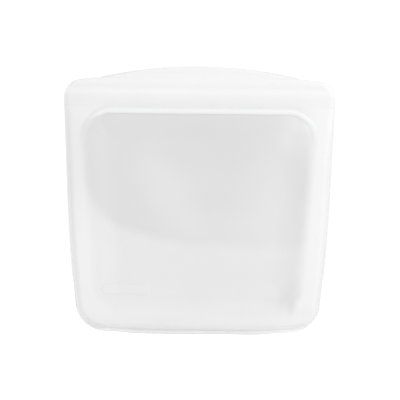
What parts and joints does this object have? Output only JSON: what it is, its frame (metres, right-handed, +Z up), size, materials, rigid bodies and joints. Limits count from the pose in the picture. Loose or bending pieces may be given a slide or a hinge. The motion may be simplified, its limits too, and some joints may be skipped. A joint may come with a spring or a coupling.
{
  "type": "reusable silicone food bag",
  "caption": "Flat upright food bag of frosted silicone with thick rounded borders round a thin window, a press seal at the mouth and arched pull tabs.",
  "frame": {"origin": "middle of the underside of the bag, on the surface that it stands on", "axes": "+X to the right along the mouth seen from the front, -Y the front of the bag, +Z up to the mouth"},
  "size_m": [0.19, 0.0238, 0.187],
  "materials": {
    "border_silicone": "satin translucent silicone, thick",
    "lip_silicone": "satin translucent silicone, smooth",
    "window_silicone": "frosted translucent silicone, thin",
    "seal_silicone": "glossy translucent silicone",
    "pad_silicone": "satin translucent silicone"
  },
  "bodies": {
    "root": {"bottom_gusset": "border_silicone", "left_side_seam": "border_silicone", "right_side_seam": "border_silicone", "left_seal_stop": "seal_silicone", "right_seal_stop": "seal_silicone"},
    "front_wall": {"front_frame": "border_silicone", "front_panel": "window_silicone", "front_window_bead": "border_silicone", "front_lip": "lip_silicone", "front_pull_tab": "lip_silicone", "lower_seal_rail": "seal_silicone", "upper_seal_rail": "seal_silicone", "front_label_pad": "pad_silicone"},
    "back_wall": {"back_frame": "border_silicone", "back_panel": "window_silicone", "back_window_bead": "border_silicone", "back_lip": "lip_silicone", "back_pull_tab": "lip_silicone", "seal_rib": "seal_silicone"}
  },
  "joints": [
    {"name": "front_wall_open", "type": "hinge", "parent": "root", "child": "front_wall", "pos_m": [0, -0.0113, 0.00605], "axis": [1, 0, 0], "range_deg": [0, 10], "stiffness_Nm_per_rad": 0.4},
    {"name": "back_wall_open", "type": "hinge", "parent": "root", "child": "back_wall", "pos_m": [0, 0.0113, 0.00605], "axis": [-1, 0, 0], "range_deg": [0, 10], "stiffness_Nm_per_rad": 0.4}
  ]
}
